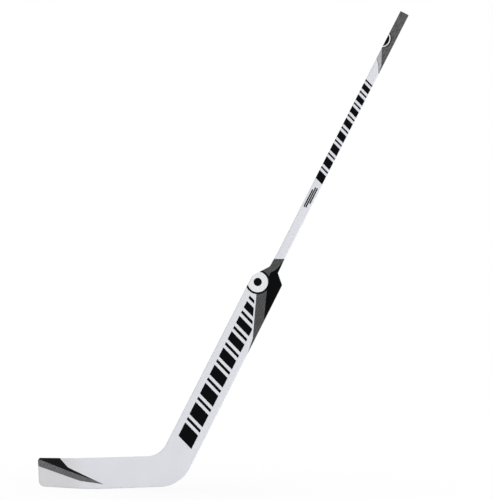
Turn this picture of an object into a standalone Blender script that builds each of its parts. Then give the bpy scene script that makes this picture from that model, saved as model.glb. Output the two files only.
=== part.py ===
"""A hockey goalkeeper's stick with a foam core, standing as it is held, its shaft leaning up to the right.

The hollow shaft is glued over the tenon of a wooden spine. The spine runs down the paddle between two foam
panels into a mortise in the heel block, which also carries the blade's core. Two pressed laminate skins
close the paddle and two more close the blade, and printed films are laid on the outside.

The origin is the middle of the sole's flat, +X runs from toe to heel, +Z is up, and the front is seen from
-Y. Places on the paddle and shaft are (across, along): across the shaft's axis, positive on the trailing
side, and along it from the ice.
"""

import math

import bmesh
import bpy
from mathutils import Matrix, Vector

# Whole stick, in metres
LEAN = math.radians(27.0)
AXIS_FOOT_X = 0.1968
STICK_LENGTH = 1.494
EDGE_RADIUS = 0.0035
GLUE = 0.0003

# Shaft
SHAFT_WIDTH = 0.0255
SHAFT_THICKNESS = 0.020
SHAFT_WALL = 0.002
TENON_LENGTH = 0.055
PLUG_HEAD = 0.003
PLUG_STEM = 0.028
PLUG_ROUND = 0.0008

# Paddle
PADDLE_LENGTH = 0.660
LEAD_FOOT = 0.0472
LEAD_TOP = 0.0465
TRAIL_FOOT = 0.0428
TRAIL_TOP = 0.0402
LEAD_SHOULDER_DROP = 0.014
LEAD_SHOULDER_RADIUS = 0.006
TRAIL_SHOULDER_RADIUS = 0.005
NECK_RISE = 0.075
NECK_LEAD_DEPTH = 0.0435
NECK_TRAIL_DEPTH = 0.050
NECK_FLARE = 0.0016
NECK_RADIUS = 0.008
SEAM_ALONG = 0.118
TAPER_LENGTH = 0.180

# Blade
TOE_REACH = 0.1525
TOE_RAKE = 0.0035
TOE_HEIGHT = 0.0855
TOE_TOP_RADIUS = 0.008
TOE_SOLE_RADIUS = 0.017
SOLE_FLAT_TOE_END = 0.028
SOLE_FLAT_HEEL_END = 0.022
SOLE_TOE_RISE = math.radians(2.8)
SOLE_HEEL_RISE = math.radians(1.9)
TOP_FLAT_END = 0.045
TOP_RISE = math.radians(1.6)
ELBOW_RADIUS = 0.061
HEEL_RADIUS = 0.095
HEEL_THICKNESS = 0.016
TOE_THICKNESS = 0.010
BLADE_START_X = 0.154
BOW_START_X = 0.025
BOW_DEPTH = 0.014

# Laminate skins and the pieces of the core under them
SKIN = 0.0012
RAIL = 0.004
SPINE_WIDTH = 0.016
SPINE_HEAD = 0.035
SPINE_TONGUE = 0.038
SHOULDER_BLOCK_DEPTH = 0.034
HEEL_BLOCK_TOP = 0.178
HEEL_BLOCK_X = 0.150
TOE_INSERT_LENGTH = 0.028
RIB_HEIGHT = 0.006
RIB_MIDDLE_Z = 0.045
RIB_TONGUE = 0.030
RIB_TOE_TONGUE = 0.010

# Printed films
FILM = 0.0002
BAR_SLANT = math.tan(math.radians(19.0))
PADDLE_BARS_DROP = 0.076
PADDLE_BARS_FOOT = 0.144
PADDLE_BARS_LEAD = 0.0275
PADDLE_BARS_TRAIL = 0.022
PADDLE_BAR_PAIRS = 8
PADDLE_BAR_GAP = 0.009
PADDLE_BAR_THIN = 0.008
PADDLE_BAR_FADE = 0.90
PADDLE_BARS_EDGE = 0.003
SHAFT_BARS_DROP = 0.039
SHAFT_BARS_LENGTH = 0.310
SHAFT_BARS_MARGIN = 0.001
SHAFT_BAR_PAIRS = 8
SHAFT_BAR_GAP = 0.0075
SHAFT_BAR_THIN = 0.005
SHAFT_BAR_FADE = 0.93
BUTT_FILM_LEAD = 0.114
BUTT_FILM_TRAIL = 0.179
SHOULDER_FILM_RISE = 0.061
GREY_WEDGE_TIP_DROP = 0.222
GREY_WEDGE_TOP_RISE = 0.010
GREY_WEDGE_TOP_ACROSS = -0.031
BLACK_WEDGE_TIP_DROP = 0.112
BLACK_WEDGE_TOP_RISE = 0.052
BLACK_WEDGE_TOP_ACROSS = 0.003
BARS_TO_WEDGE = 0.004
ROUNDEL_ACROSS = -0.0249
ROUNDEL_DROP = 0.0227
ROUNDEL_RADIUS = 0.0338
ROUNDEL_RING = 0.0041
ROUNDEL_STEPS = 72
TOE_FILM_TIP_X = 0.028
TOE_FILM_TIP_Z = 0.012
TOE_GREY_HEIGHT = 0.064
TOE_BLACK_HEIGHT = 0.080
TOE_BLACK_LENGTH = 0.0685

# How finely round stretches are cut, and how near points and faces count as one
ARC_SAG = 0.0001
ROUND_STEPS = 3
STATION_STEP = 0.032
MERGE = 1e-6
ON_PLANE = 1e-7
SAME_FACE = math.radians(0.05)
SHARP = math.radians(35.0)

REACH = STICK_LENGTH
CORE_INSET = SKIN + GLUE
CORE_HALF = SHAFT_THICKNESS / 2 - CORE_INSET
CORE_CHAMFER = EDGE_RADIUS - CORE_INSET
NECK_TOP = PADDLE_LENGTH + NECK_RISE
SPINE_FOOT = HEEL_BLOCK_TOP - SPINE_TONGUE
LAP_GAP = GLUE + SKIN * math.sin(math.pi / 4 / ROUND_STEPS)


def clear_scene():
    for old in list(bpy.data.objects):
        bpy.data.objects.remove(old)


def new_collection(name):
    made = bpy.data.collections.new(name)
    bpy.context.scene.collection.children.link(made)
    return made


def material(name, colour, roughness, metallic=0.0):
    made = bpy.data.materials.new(name)
    made.use_nodes = True
    shader = made.node_tree.nodes["Principled BSDF"]
    shader.inputs["Base Color"].default_value = (*colour, 1.0)
    shader.inputs["Roughness"].default_value = roughness
    shader.inputs["Metallic"].default_value = metallic
    made.diffuse_color = (*colour, 1.0)
    return made


def on_paddle(across, along):
    """A place on the paddle or shaft as a point (x, z) of the row."""
    x = AXIS_FOOT_X + along * math.sin(LEAN) + across * math.cos(LEAN)
    z = along * math.cos(LEAN) - across * math.sin(LEAN)
    return Vector((x, z))


def along_axis(x, z):
    """How far along the shaft's axis a point (x, z) of the row lies."""
    return (x - AXIS_FOOT_X) * math.sin(LEAN) + z * math.cos(LEAN)


def meet(first, second, third, fourth):
    """Where the line through two points meets the line through two others."""
    run, other = second - first, fourth - third
    share = (third - first).cross(other) / run.cross(other)
    return first + share * run


def stick_corners():
    """The corners of the paddle and blade seen from the front, anticlockwise, each as (point, radius)."""
    toe_end = Vector((-SOLE_FLAT_TOE_END, 0.0))
    heel_end = Vector((SOLE_FLAT_HEEL_END, 0.0))
    toe_rise = Vector((-math.cos(SOLE_TOE_RISE), math.sin(SOLE_TOE_RISE)))
    heel_rise = Vector((math.cos(SOLE_HEEL_RISE), math.sin(SOLE_HEEL_RISE)))
    toe_top = Vector((-TOE_REACH, TOE_HEIGHT))
    toe_foot = Vector((TOE_RAKE - TOE_REACH, 0.0))
    top_end = Vector((-TOP_FLAT_END, TOE_HEIGHT))
    top_rise = Vector((math.cos(TOP_RISE), math.sin(TOP_RISE)))
    lead_shoulder = on_paddle(-LEAD_TOP, PADDLE_LENGTH - LEAD_SHOULDER_DROP)
    trail_shoulder = on_paddle(TRAIL_TOP, PADDLE_LENGTH)
    lead_foot = on_paddle(-LEAD_FOOT, 0.0)
    trail_foot = on_paddle(TRAIL_FOOT, 0.0)
    neck_half = SHAFT_WIDTH / 2
    past_neck = NECK_TOP + NECK_RISE
    return [
        (toe_end, 0.0),
        (heel_end, 0.0),
        (meet(heel_end, heel_end + heel_rise, trail_foot, trail_shoulder), HEEL_RADIUS),
        (trail_shoulder, TRAIL_SHOULDER_RADIUS),
        (on_paddle(neck_half + NECK_FLARE, NECK_TOP - NECK_TRAIL_DEPTH), 0.0),
        (on_paddle(neck_half, NECK_TOP), 0.0),
        (on_paddle(neck_half, past_neck), 0.0),
        (on_paddle(-neck_half, past_neck), 0.0),
        (on_paddle(-neck_half, NECK_TOP), 0.0),
        (on_paddle(-neck_half - NECK_FLARE, NECK_TOP - NECK_LEAD_DEPTH), NECK_RADIUS),
        (lead_shoulder, LEAD_SHOULDER_RADIUS),
        (meet(top_end, top_end + top_rise, lead_foot, lead_shoulder), ELBOW_RADIUS),
        (top_end, 0.0),
        (toe_top, TOE_TOP_RADIUS),
        (meet(toe_top, toe_foot, toe_end, toe_end + toe_rise), TOE_SOLE_RADIUS),
    ]


def left_of(run):
    return Vector((-run.y, run.x)).normalized()


def inset_corners(inset):
    """The corners of the stick's outline with every side moved in by inset."""
    corners = stick_corners()
    count = len(corners)
    moved = []
    for i in range(count):
        before, here, after = (corners[(i + k) % count][0] for k in (-1, 0, 1))
        shift_in = inset * left_of(here - before)
        shift_out = inset * left_of(after - here)
        point = meet(before + shift_in, here + shift_in, here + shift_out, after + shift_out)
        radius = corners[i][1]
        if radius > 0.0:
            is_convex = (here - before).cross(after - here) > 0.0
            radius = max(radius - inset, 0.0) if is_convex else radius + inset
        moved.append((point, radius))
    return moved


def rounded(corners):
    """The points of an outline whose corners are rounded to their radii."""
    points = []
    count = len(corners)
    for i in range(count):
        before, here, after = (corners[(i + k) % count][0] for k in (-1, 0, 1))
        radius = corners[i][1]
        if radius <= 0.0:
            points.append(here)
            continue
        arriving = (here - before).normalized()
        leaving = (after - here).normalized()
        turn = math.atan2(arriving.cross(leaving), arriving.dot(leaving))
        start = here - arriving * radius * math.tan(abs(turn) / 2)
        centre = start + math.copysign(radius, turn) * left_of(arriving)
        steps = math.ceil(abs(turn) / (2 * math.acos(1 - ARC_SAG / radius)))
        for k in range(steps + 1):
            points.append(centre + Matrix.Rotation(turn * k / steps, 2) @ (start - centre))
    return points


def outline(inset):
    return rounded(inset_corners(inset))


def slab(points, low_y, high_y):
    """A bmesh of a flat outline given thickness, its face in the XZ plane between two values of y."""
    curve = bpy.data.curves.new("outline", "CURVE")
    curve.dimensions = "2D"
    curve.fill_mode = "BOTH"
    curve.extrude = (high_y - low_y) / 2
    spline = curve.splines.new("POLY")
    spline.points.add(len(points) - 1)
    for knot, place in zip(spline.points, points):
        knot.co = (place.x, place.y, 0.0, 1.0)
    spline.use_cyclic_u = True
    holder = bpy.data.objects.new("outline", curve)
    bpy.context.scene.collection.objects.link(holder)
    mesh = bpy.data.meshes.new_from_object(holder.evaluated_get(bpy.context.evaluated_depsgraph_get()))
    bpy.data.objects.remove(holder)
    shape = bmesh.new()
    shape.from_mesh(mesh)
    bpy.data.meshes.remove(mesh)
    bmesh.ops.remove_doubles(shape, verts=shape.verts, dist=MERGE)
    bmesh.ops.dissolve_limit(shape, angle_limit=SAME_FACE, verts=shape.verts, edges=shape.edges)
    upright = Matrix.Translation((0.0, (low_y + high_y) / 2, 0.0)) @ Matrix.Rotation(math.pi / 2, 4, "X")
    bmesh.ops.transform(shape, matrix=upright, verts=shape.verts)
    bmesh.ops.recalc_face_normals(shape, faces=shape.faces)
    return shape


def round_rim(shape, width, steps):
    """Rounds or chamfers the edges between a slab's two faces and its sides."""
    rim = []
    for edge in shape.edges:
        is_flat = [abs(face.normal.y) > 0.5 for face in edge.link_faces]
        if sorted(is_flat) == [False, True]:
            rim.append(edge)
    bmesh.ops.bevel(
        shape, geom=rim, offset=width, segments=steps, profile=0.5, affect="EDGES", clamp_overlap=False
    )
    return shape


def score(shape, point, normal, drops=False):
    """Cuts a shape's faces by a plane, and may drop what lies on the side that normal points to."""
    geometry = [*shape.verts, *shape.edges, *shape.faces]
    bmesh.ops.bisect_plane(
        shape, geom=geometry, dist=ON_PLANE, plane_co=point, plane_no=normal, clear_outer=drops
    )


def cut_right(shape, start, end):
    """Cuts by the plane through two points (x, z), and drops what lies right of the way between them."""
    right = -left_of(end - start)
    score(shape, (start.x, 0.0, start.y), (right.x, 0.0, right.y), drops=True)


def across_paddle(along):
    """Two points (x, z) of the line square to the axis, leading side first, so its right lies below."""
    return on_paddle(-1.0, along), on_paddle(1.0, along)


def half_thickness(x, z):
    """Half of the stick's thickness at a point of the paddle or blade."""
    along = along_axis(x, z)
    if along > SEAM_ALONG:
        share = min((along - SEAM_ALONG) / TAPER_LENGTH, 1.0)
        return (HEEL_THICKNESS + share * (SHAFT_THICKNESS - HEEL_THICKNESS)) / 2
    share = max(BLADE_START_X - x, 0.0) / (BLADE_START_X + TOE_REACH)
    return (HEEL_THICKNESS + share * (TOE_THICKNESS - HEEL_THICKNESS)) / 2


def bow(x):
    """How far back the blade's middle plane lies."""
    share = max(BOW_START_X - x, 0.0) / (BOW_START_X + TOE_REACH)
    return BOW_DEPTH * share**2


def press(shape):
    """Presses flat stock of the shaft's thickness to the paddle's taper and the blade's taper and bow.

    The middle of each side wall is squeezed, and what lies past it moves in whole, so rounded rims, skins
    and glue lines keep their size.
    """
    stations = [((x, 0.0, 0.0), (1.0, 0.0, 0.0)) for x in blade_stations()]
    for along in (SEAM_ALONG, SEAM_ALONG + TAPER_LENGTH):
        place = on_paddle(0.0, along)
        stations.append(((place.x, 0.0, place.y), (math.sin(LEAN), 0.0, math.cos(LEAN))))
    for point, normal in stations:
        score(shape, point, normal)
    wall = SHAFT_THICKNESS / 2 - EDGE_RADIUS
    for vertex in shape.verts:
        x, y, z = vertex.co
        half = half_thickness(x, z)
        size = abs(y)
        if size <= wall + ON_PLANE:
            size *= (half - EDGE_RADIUS) / wall
        else:
            size += half - SHAFT_THICKNESS / 2
        vertex.co.y = math.copysign(size, y) + bow(x)
    return shape


def blade_stations():
    """The x of the cuts that let the blade's faces follow its bow."""
    count = math.ceil((BLADE_START_X + TOE_REACH) / STATION_STEP)
    step = (BLADE_START_X + TOE_REACH) / count
    return [BLADE_START_X - i * step for i in range(count)]


def add_object(name, shape, finish, parts):
    """Turns a bmesh into a named object of the stick."""
    mesh = bpy.data.meshes.new(name)
    shape.to_mesh(mesh)
    shape.free()
    mesh.materials.append(finish)
    mesh.shade_smooth()
    mesh.set_sharp_from_angle(angle=SHARP)
    made = bpy.data.objects.new(name, mesh)
    parts.objects.link(made)
    return made


def carve(shape, steps):
    """Applies a chain of Booleans to a bmesh. Each step is (operation, bmesh)."""
    worked = bpy.data.objects.new("worked", bpy.data.meshes.new("worked"))
    bpy.context.scene.collection.objects.link(worked)
    shape.to_mesh(worked.data)
    shape.free()
    tools = []
    for operation, tool in steps:
        cutter = bpy.data.objects.new("cutter", bpy.data.meshes.new("cutter"))
        bpy.context.scene.collection.objects.link(cutter)
        tool.to_mesh(cutter.data)
        tool.free()
        modifier = worked.modifiers.new(operation.lower(), "BOOLEAN")
        modifier.operation = operation
        modifier.solver = "EXACT"
        modifier.object = cutter
        tools.append(cutter)
    mesh = bpy.data.meshes.new_from_object(worked.evaluated_get(bpy.context.evaluated_depsgraph_get()))
    for used in [worked, *tools]:
        bpy.data.objects.remove(used)
    carved = bmesh.new()
    carved.from_mesh(mesh)
    bpy.data.meshes.remove(mesh)
    bmesh.ops.remove_doubles(carved, verts=carved.verts, dist=MERGE)
    bmesh.ops.dissolve_limit(carved, angle_limit=SAME_FACE, verts=carved.verts, edges=carved.edges)
    return carved


def paddle_prism(places):
    """A cutter through the whole thickness, over (across, along) places listed anticlockwise."""
    return slab([on_paddle(*place) for place in places], -REACH, REACH)


def blade_prism(low_x, high_x, low_z, high_z):
    """A cutter through the whole thickness, over a rectangle of the blade."""
    corners = [(low_x, low_z), (high_x, low_z), (high_x, high_z), (low_x, high_z)]
    return slab([Vector(corner) for corner in corners], -REACH, REACH)


def core_blank():
    """The whole core of paddle and blade, before it is parted into its pieces."""
    return round_rim(slab(outline(CORE_INSET), -CORE_HALF, CORE_HALF), CORE_CHAMFER, 1)


def inner_prism():
    """A cutter through the whole thickness, over all that lies inside the edge rails."""
    return slab(outline(CORE_INSET + RAIL), -REACH, REACH)


def inner_blank():
    """The part of the core inside its edge rails and the glue line on them."""
    return slab(outline(CORE_INSET + RAIL + GLUE), -CORE_HALF, CORE_HALF)


def side_prism(side, near, low, high):
    """A cutter over one side of the paddle, from near the axis out. side is -1 leading or 1 trailing."""
    places = [(side * near, low), (side * REACH, low), (side * REACH, high), (side * near, high)]
    return paddle_prism(places if side > 0 else places[::-1])


def shaft_bar(grown, low, high):
    """A solid bar along Z of the shaft's section, grown by a layer or shrunk by one."""
    shape = bmesh.new()
    size = Matrix.Diagonal((SHAFT_WIDTH + 2 * grown, SHAFT_THICKNESS + 2 * grown, high - low, 1.0))
    bmesh.ops.create_cube(shape, size=1.0, matrix=Matrix.Translation((0.0, 0.0, (low + high) / 2)) @ size)
    upright = [edge for edge in shape.edges if edge.verts[0].co.xy == edge.verts[1].co.xy]
    radius = max(EDGE_RADIUS + grown, GLUE)
    bmesh.ops.bevel(shape, geom=upright, offset=radius, segments=ROUND_STEPS, profile=0.5, affect="EDGES")
    return shape


def open_ends(shape):
    """Takes the two ends off a bar along Z."""
    ends = [face for face in shape.faces if abs(face.normal.z) > 0.5]
    bmesh.ops.delete(shape, geom=ends, context="FACES_ONLY")
    return shape


def stand_on_axis(shape):
    """Moves a shape made along Z onto the shaft's axis."""
    lean = Matrix.Translation((AXIS_FOOT_X, 0.0, 0.0)) @ Matrix.Rotation(LEAN, 4, "Y")
    bmesh.ops.transform(shape, matrix=lean, verts=shape.verts)
    return shape


def make_spine(wood, parts):
    """The wooden spine, with a head that fills the neck and a tenon for the shaft."""
    half = SPINE_WIDTH / 2
    head = NECK_TOP - SPINE_HEAD
    region = [
        (-half, SPINE_FOOT),
        (half, SPINE_FOOT),
        (half, head),
        (REACH, head),
        (REACH, NECK_TOP),
        (-REACH, NECK_TOP),
        (-REACH, head),
        (-half, head),
    ]
    tenon = stand_on_axis(shaft_bar(-SHAFT_WALL - GLUE, NECK_TOP - RAIL, NECK_TOP + TENON_LENGTH))
    shape = carve(core_blank(), [("INTERSECT", paddle_prism(region))])
    shape = carve(press(shape), [("UNION", tenon)])
    add_object("paddle_spine", shape, wood, parts)


def make_shoulder_blocks(wood, parts):
    """The blocks that shape the paddle's two shoulders."""
    low = PADDLE_LENGTH - LEAD_SHOULDER_DROP - SHOULDER_BLOCK_DEPTH
    high = NECK_TOP - SPINE_HEAD - GLUE
    for side, name in ((-1, "shoulder_block_leading"), (1, "shoulder_block_trailing")):
        region = side_prism(side, SPINE_WIDTH / 2 + GLUE, low, high)
        add_object(name, press(carve(core_blank(), [("INTERSECT", region)])), wood, parts)


def make_paddle_sides(wood, foam, parts):
    """The edge rails of the paddle and the foam panels between them and the spine."""
    low = HEEL_BLOCK_TOP + GLUE
    high = PADDLE_LENGTH - LEAD_SHOULDER_DROP - SHOULDER_BLOCK_DEPTH - GLUE
    for side, name in ((-1, "leading"), (1, "trailing")):
        steps = [("INTERSECT", side_prism(side, SPINE_WIDTH / 2, low, high)), ("DIFFERENCE", inner_prism())]
        add_object("paddle_rail_" + name, press(carve(core_blank(), steps)), wood, parts)
        region = side_prism(side, SPINE_WIDTH / 2 + GLUE, low, high)
        panel = carve(inner_blank(), [("INTERSECT", region)])
        add_object("paddle_foam_" + name, press(panel), foam, parts)


def rib_slot(low_x, high_x, clearance):
    """The strip along the blade that its rib fills, grown by clearance."""
    half = RIB_HEIGHT / 2 + clearance
    return blade_prism(low_x, high_x, RIB_MIDDLE_Z - half, RIB_MIDDLE_Z + half)


def make_heel_block(wood, parts):
    """The block at the elbow, with a mortise for the spine and a slot for the blade's rib."""
    across = SPINE_WIDTH / 2 + GLUE
    foot = SPINE_FOOT - GLUE
    mortise = [(-across, foot), (across, foot), (across, REACH), (-across, REACH)]
    top = HEEL_BLOCK_TOP
    below = [(-REACH, -REACH), (REACH, -REACH), (REACH, top), (-REACH, top)]
    steps = [
        ("INTERSECT", paddle_prism(below)),
        ("INTERSECT", blade_prism(HEEL_BLOCK_X, REACH, -REACH, REACH)),
        ("DIFFERENCE", paddle_prism(mortise)),
        ("DIFFERENCE", rib_slot(-REACH, HEEL_BLOCK_X + RIB_TONGUE + GLUE, GLUE)),
    ]
    add_object("heel_block", press(carve(core_blank(), steps)), wood, parts)


def make_blade_core(wood, foam, plastic, parts):
    """The toe insert, rib, rails and foam of the blade."""
    toe_x = TOE_INSERT_LENGTH - TOE_REACH
    steps = [
        ("INTERSECT", blade_prism(-REACH, toe_x, -REACH, REACH)),
        ("DIFFERENCE", rib_slot(toe_x - RIB_TOE_TONGUE - GLUE, REACH, GLUE)),
    ]
    add_object("toe_insert", press(carve(core_blank(), steps)), plastic, parts)

    low_z, high_z = RIB_MIDDLE_Z - RIB_HEIGHT / 2, RIB_MIDDLE_Z + RIB_HEIGHT / 2
    low_x, high_x = toe_x - RIB_TOE_TONGUE, HEEL_BLOCK_X + RIB_TONGUE
    corners = [(low_x, low_z), (high_x, low_z), (high_x, high_z), (low_x, high_z)]
    rib = slab([Vector(corner) for corner in corners], -CORE_HALF, CORE_HALF)
    add_object("blade_rib", press(rib), wood, parts)

    span = (toe_x + GLUE, HEEL_BLOCK_X - GLUE)
    halves = (
        ("blade_rail_sole", "blade_foam_lower", -REACH, low_z - GLUE),
        ("blade_rail_top", "blade_foam_upper", high_z + GLUE, REACH),
    )
    for rail, panel, low, high in halves:
        steps = [("INTERSECT", blade_prism(*span, low, high)), ("DIFFERENCE", inner_prism())]
        add_object(rail, press(carve(core_blank(), steps)), plastic, parts)
        steps = [("INTERSECT", blade_prism(*span, low, high))]
        add_object(panel, press(carve(inner_blank(), steps)), foam, parts)


def rounded_blank(grown):
    """The whole outside of paddle and blade, closed, grown by a layer's height above the skins."""
    half = SHAFT_THICKNESS / 2 + grown
    return round_rim(slab(outline(-grown), -half, half), EDGE_RADIUS + grown, ROUND_STEPS)


def thicken(made, thickness):
    """Gives an open surface its thickness, inwards."""
    wall = made.modifiers.new("wall", "SOLIDIFY")
    wall.thickness = thickness
    wall.offset = -1.0
    wall.use_even_offset = True
    wall.use_quality_normals = True


def make_skins(laminate, parts):
    """Front skins wrap the edges as far as the back's rounding, and the back skins close them."""
    lap = SHAFT_THICKNESS / 2 - EDGE_RADIUS
    for face, edge, outwards in (("front", lap, 1.0), ("back", lap + LAP_GAP, -1.0)):
        for length in ("paddle", "blade"):
            shape = rounded_blank(0.0)
            score(shape, (0.0, edge, 0.0), (0.0, outwards, 0.0), drops=True)
            if length == "paddle":
                cut_right(shape, *across_paddle(SEAM_ALONG + GLUE / 2))
                cut_right(shape, *reversed(across_paddle(NECK_TOP)))
            else:
                cut_right(shape, *reversed(across_paddle(SEAM_ALONG - GLUE / 2)))
            thicken(add_object(length + "_skin_" + face, press(shape), laminate, parts), SKIN)


def make_shaft(laminate, plastic, parts, axis):
    """The hollow shaft and the plug that closes its butt end."""
    top = STICK_LENGTH - PLUG_HEAD - GLUE
    tube = add_object("shaft_tube", open_ends(shaft_bar(0.0, NECK_TOP + GLUE, top)), laminate, parts)
    thicken(tube, SHAFT_WALL)
    tube.parent = axis

    head = shaft_bar(0.0, STICK_LENGTH - PLUG_HEAD, STICK_LENGTH)
    brim = [edge for edge in head.edges if all(v.co.z > STICK_LENGTH - PLUG_HEAD / 2 for v in edge.verts)]
    bmesh.ops.bevel(head, geom=brim, offset=PLUG_ROUND, segments=2, profile=0.5, affect="EDGES")
    stem = shaft_bar(-SHAFT_WALL - GLUE, STICK_LENGTH - PLUG_HEAD - PLUG_STEM, STICK_LENGTH - PLUG_HEAD / 2)
    plug = add_object("butt_plug", carve(head, [("UNION", stem)]), plastic, parts)
    plug.parent = axis


def shaft_film(low, high):
    """The shaft's outside between two places, raised by a glue line and a film."""
    return open_ends(shaft_bar(GLUE + FILM, low, high))


def bar_spans(start, length, pairs, gap, thin, fade):
    """The (low, high) of pairs of a thick and a thin bar. The thick ones shorten by a steady share."""
    thick = (length - gap * (2 * pairs - 1) - thin * pairs) * (1 - fade) / (1 - fade**pairs)
    spans = []
    low = start
    for i in range(pairs):
        for length in (thick * fade**i, thin):
            spans.append((low, low + length))
            low += length + gap
    return spans


def make_shaft_films(black, grey, parts, axis):
    """The grey sleeve at the butt and the slanted bars along the shaft, which wrap its leading side."""
    top = STICK_LENGTH - PLUG_HEAD - GLUE
    half = SHAFT_WIDTH / 2
    sleeve = shaft_film(STICK_LENGTH - BUTT_FILM_TRAIL - half, top)
    slope = (BUTT_FILM_TRAIL - BUTT_FILM_LEAD) / SHAFT_WIDTH
    score(sleeve, (half, 0.0, STICK_LENGTH - BUTT_FILM_TRAIL), (-slope, 0.0, -1.0), drops=True)
    made = add_object("butt_film", sleeve, grey, parts)
    thicken(made, FILM)
    made.parent = axis

    start = STICK_LENGTH - BUTT_FILM_TRAIL - SHAFT_BARS_DROP - SHAFT_BARS_LENGTH
    spans = bar_spans(
        start, SHAFT_BARS_LENGTH, SHAFT_BAR_PAIRS, SHAFT_BAR_GAP, SHAFT_BAR_THIN, SHAFT_BAR_FADE
    )
    reach = half * BAR_SLANT
    bars = shaft_film(spans[0][0] - 2 * reach, spans[-1][1] + 2 * reach)
    slanted = Vector((BAR_SLANT, 0.0, 1.0))
    score(bars, (0.0, 0.0, spans[0][0]), -slanted, drops=True)
    score(bars, (0.0, 0.0, spans[-1][1]), slanted, drops=True)
    score(bars, (half - SHAFT_BARS_MARGIN, 0.0, 0.0), (1.0, 0.0, 0.0), drops=True)
    gaps = [(lower[1], upper[0]) for lower, upper in zip(spans, spans[1:])]
    for low, high in gaps:
        score(bars, (0.0, 0.0, low), slanted)
        score(bars, (0.0, 0.0, high), slanted)
    bared = []
    for face in bars.faces:
        place = face.calc_center_median()
        is_in_gap = any(low < place.dot(slanted) < high for low, high in gaps)
        if is_in_gap and place.x > -half:
            bared.append(face)
    bmesh.ops.delete(bars, geom=bared, context="FACES")
    made = add_object("shaft_bars_film", bars, black, parts)
    thicken(made, FILM)
    made.parent = axis


def grey_wedge():
    """The (across, along) of the tip and the top of the line along which the grey shoulder film starts."""
    tip = Vector((TRAIL_TOP, PADDLE_LENGTH - GREY_WEDGE_TIP_DROP))
    return tip, Vector((GREY_WEDGE_TOP_ACROSS, PADDLE_LENGTH + GREY_WEDGE_TOP_RISE))


def black_wedge():
    """The (across, along) of the tip and the top of the line along which grey turns to black."""
    tip = Vector((TRAIL_TOP, PADDLE_LENGTH - BLACK_WEDGE_TIP_DROP))
    return tip, Vector((BLACK_WEDGE_TOP_ACROSS, PADDLE_LENGTH + BLACK_WEDGE_TOP_RISE))


def make_paddle_bars(black, parts):
    """The slanted bars on the paddle's faces, joined by a thin line on their leading side."""
    length = PADDLE_LENGTH - PADDLE_BARS_DROP - PADDLE_BARS_FOOT
    spans = bar_spans(
        PADDLE_BARS_FOOT, length, PADDLE_BAR_PAIRS, PADDLE_BAR_GAP, PADDLE_BAR_THIN, PADDLE_BAR_FADE
    )
    joint = PADDLE_BARS_EDGE - PADDLE_BARS_LEAD
    places = [(-PADDLE_BARS_LEAD, spans[-1][1]), (-PADDLE_BARS_LEAD, spans[0][0])]
    for i, (low, high) in enumerate(spans):
        places += [(PADDLE_BARS_TRAIL, low), (PADDLE_BARS_TRAIL, high)]
        if i < len(spans) - 1:
            places += [(joint, high), (joint, spans[i + 1][0])]
    points = [on_paddle(across, along - BAR_SLANT * across) for across, along in places]
    tip, top = grey_wedge()
    run = top - tip
    start, end = (place + BARS_TO_WEDGE * left_of(run) for place in (tip - run, top + run))
    far = Vector((REACH, 0.0))
    wedge = [start, start + far, end + far, end]
    low = SHAFT_THICKNESS / 2 + GLUE
    high = low + FILM
    for name, span in (("front", (-high, -low)), ("back", (low, high))):
        film = carve(slab(points, *span), [("DIFFERENCE", paddle_prism(wedge))])
        add_object("paddle_bars_film_" + name, press(film), black, parts)


def make_roundel(black, white, parts):
    """The plain disc and its ring on the shoulder's front, laid over the grey film and cut off at the edge."""
    low = SHAFT_THICKNESS / 2 + 2 * GLUE + FILM
    flat = slab(outline(EDGE_RADIUS), -REACH, REACH)
    disc_radius = ROUNDEL_RADIUS - ROUNDEL_RING
    ring = slab(roundel_circle(ROUNDEL_RADIUS), -low - FILM, -low)
    hole = slab(roundel_circle(disc_radius), -REACH, REACH)
    ring = carve(ring, [("DIFFERENCE", hole), ("INTERSECT", flat.copy())])
    add_object("roundel_ring_film", press(ring), black, parts)
    disc = slab(roundel_circle(disc_radius - GLUE), -low - FILM, -low)
    add_object("roundel_disc_film", press(carve(disc, [("INTERSECT", flat)])), white, parts)


def roundel_circle(radius):
    """The points of a circle about the middle of the shoulder's roundel."""
    centre = on_paddle(ROUNDEL_ACROSS, PADDLE_LENGTH - ROUNDEL_DROP)
    turns = [2 * math.pi * i / ROUNDEL_STEPS for i in range(ROUNDEL_STEPS)]
    return [centre + radius * Vector((math.cos(turn), math.sin(turn))) for turn in turns]


def wrap_film(name, cuts, finish, parts):
    """A film laid round an edge. cuts are pairs of points (x, z), and what lies right of each goes."""
    shape = rounded_blank(GLUE + FILM)
    for start, end in cuts:
        cut_right(shape, start, end)
    thicken(add_object(name, press(shape), finish, parts), FILM)


def make_wrap_films(black, grey, parts):
    """The two-tone films round the shoulder and the toe, each parted by a glue line."""
    crown = on_paddle(0.0, PADDLE_LENGTH + SHOULDER_FILM_RISE)
    level = (crown, crown - Vector((REACH, 0.0)))
    grey_tip, grey_top = (on_paddle(*place) for place in grey_wedge())
    black_tip, black_top = (on_paddle(*place) for place in black_wedge())
    shift = GLUE * left_of(black_top - black_tip)
    wrap_film("shoulder_film_black", [level, (black_top, black_tip)], black, parts)
    grey_cuts = [level, (grey_top, grey_tip), (black_tip + shift, black_top + shift)]
    wrap_film("shoulder_film_grey", grey_cuts, grey, parts)

    tip = Vector((TOE_FILM_TIP_X, TOE_FILM_TIP_Z))
    foot, head = Vector((-TOE_REACH, TOE_GREY_HEIGHT)), Vector((-TOE_REACH, TOE_BLACK_HEIGHT))
    brow = Vector((TOE_BLACK_LENGTH - TOE_REACH, TOE_HEIGHT))
    lift = GLUE * left_of(tip - head)
    wrap_film("toe_film_black", [(head, tip), (tip, brow)], black, parts)
    wrap_film("toe_film_grey", [(foot, tip), (tip - lift, head - lift)], grey, parts)


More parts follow.
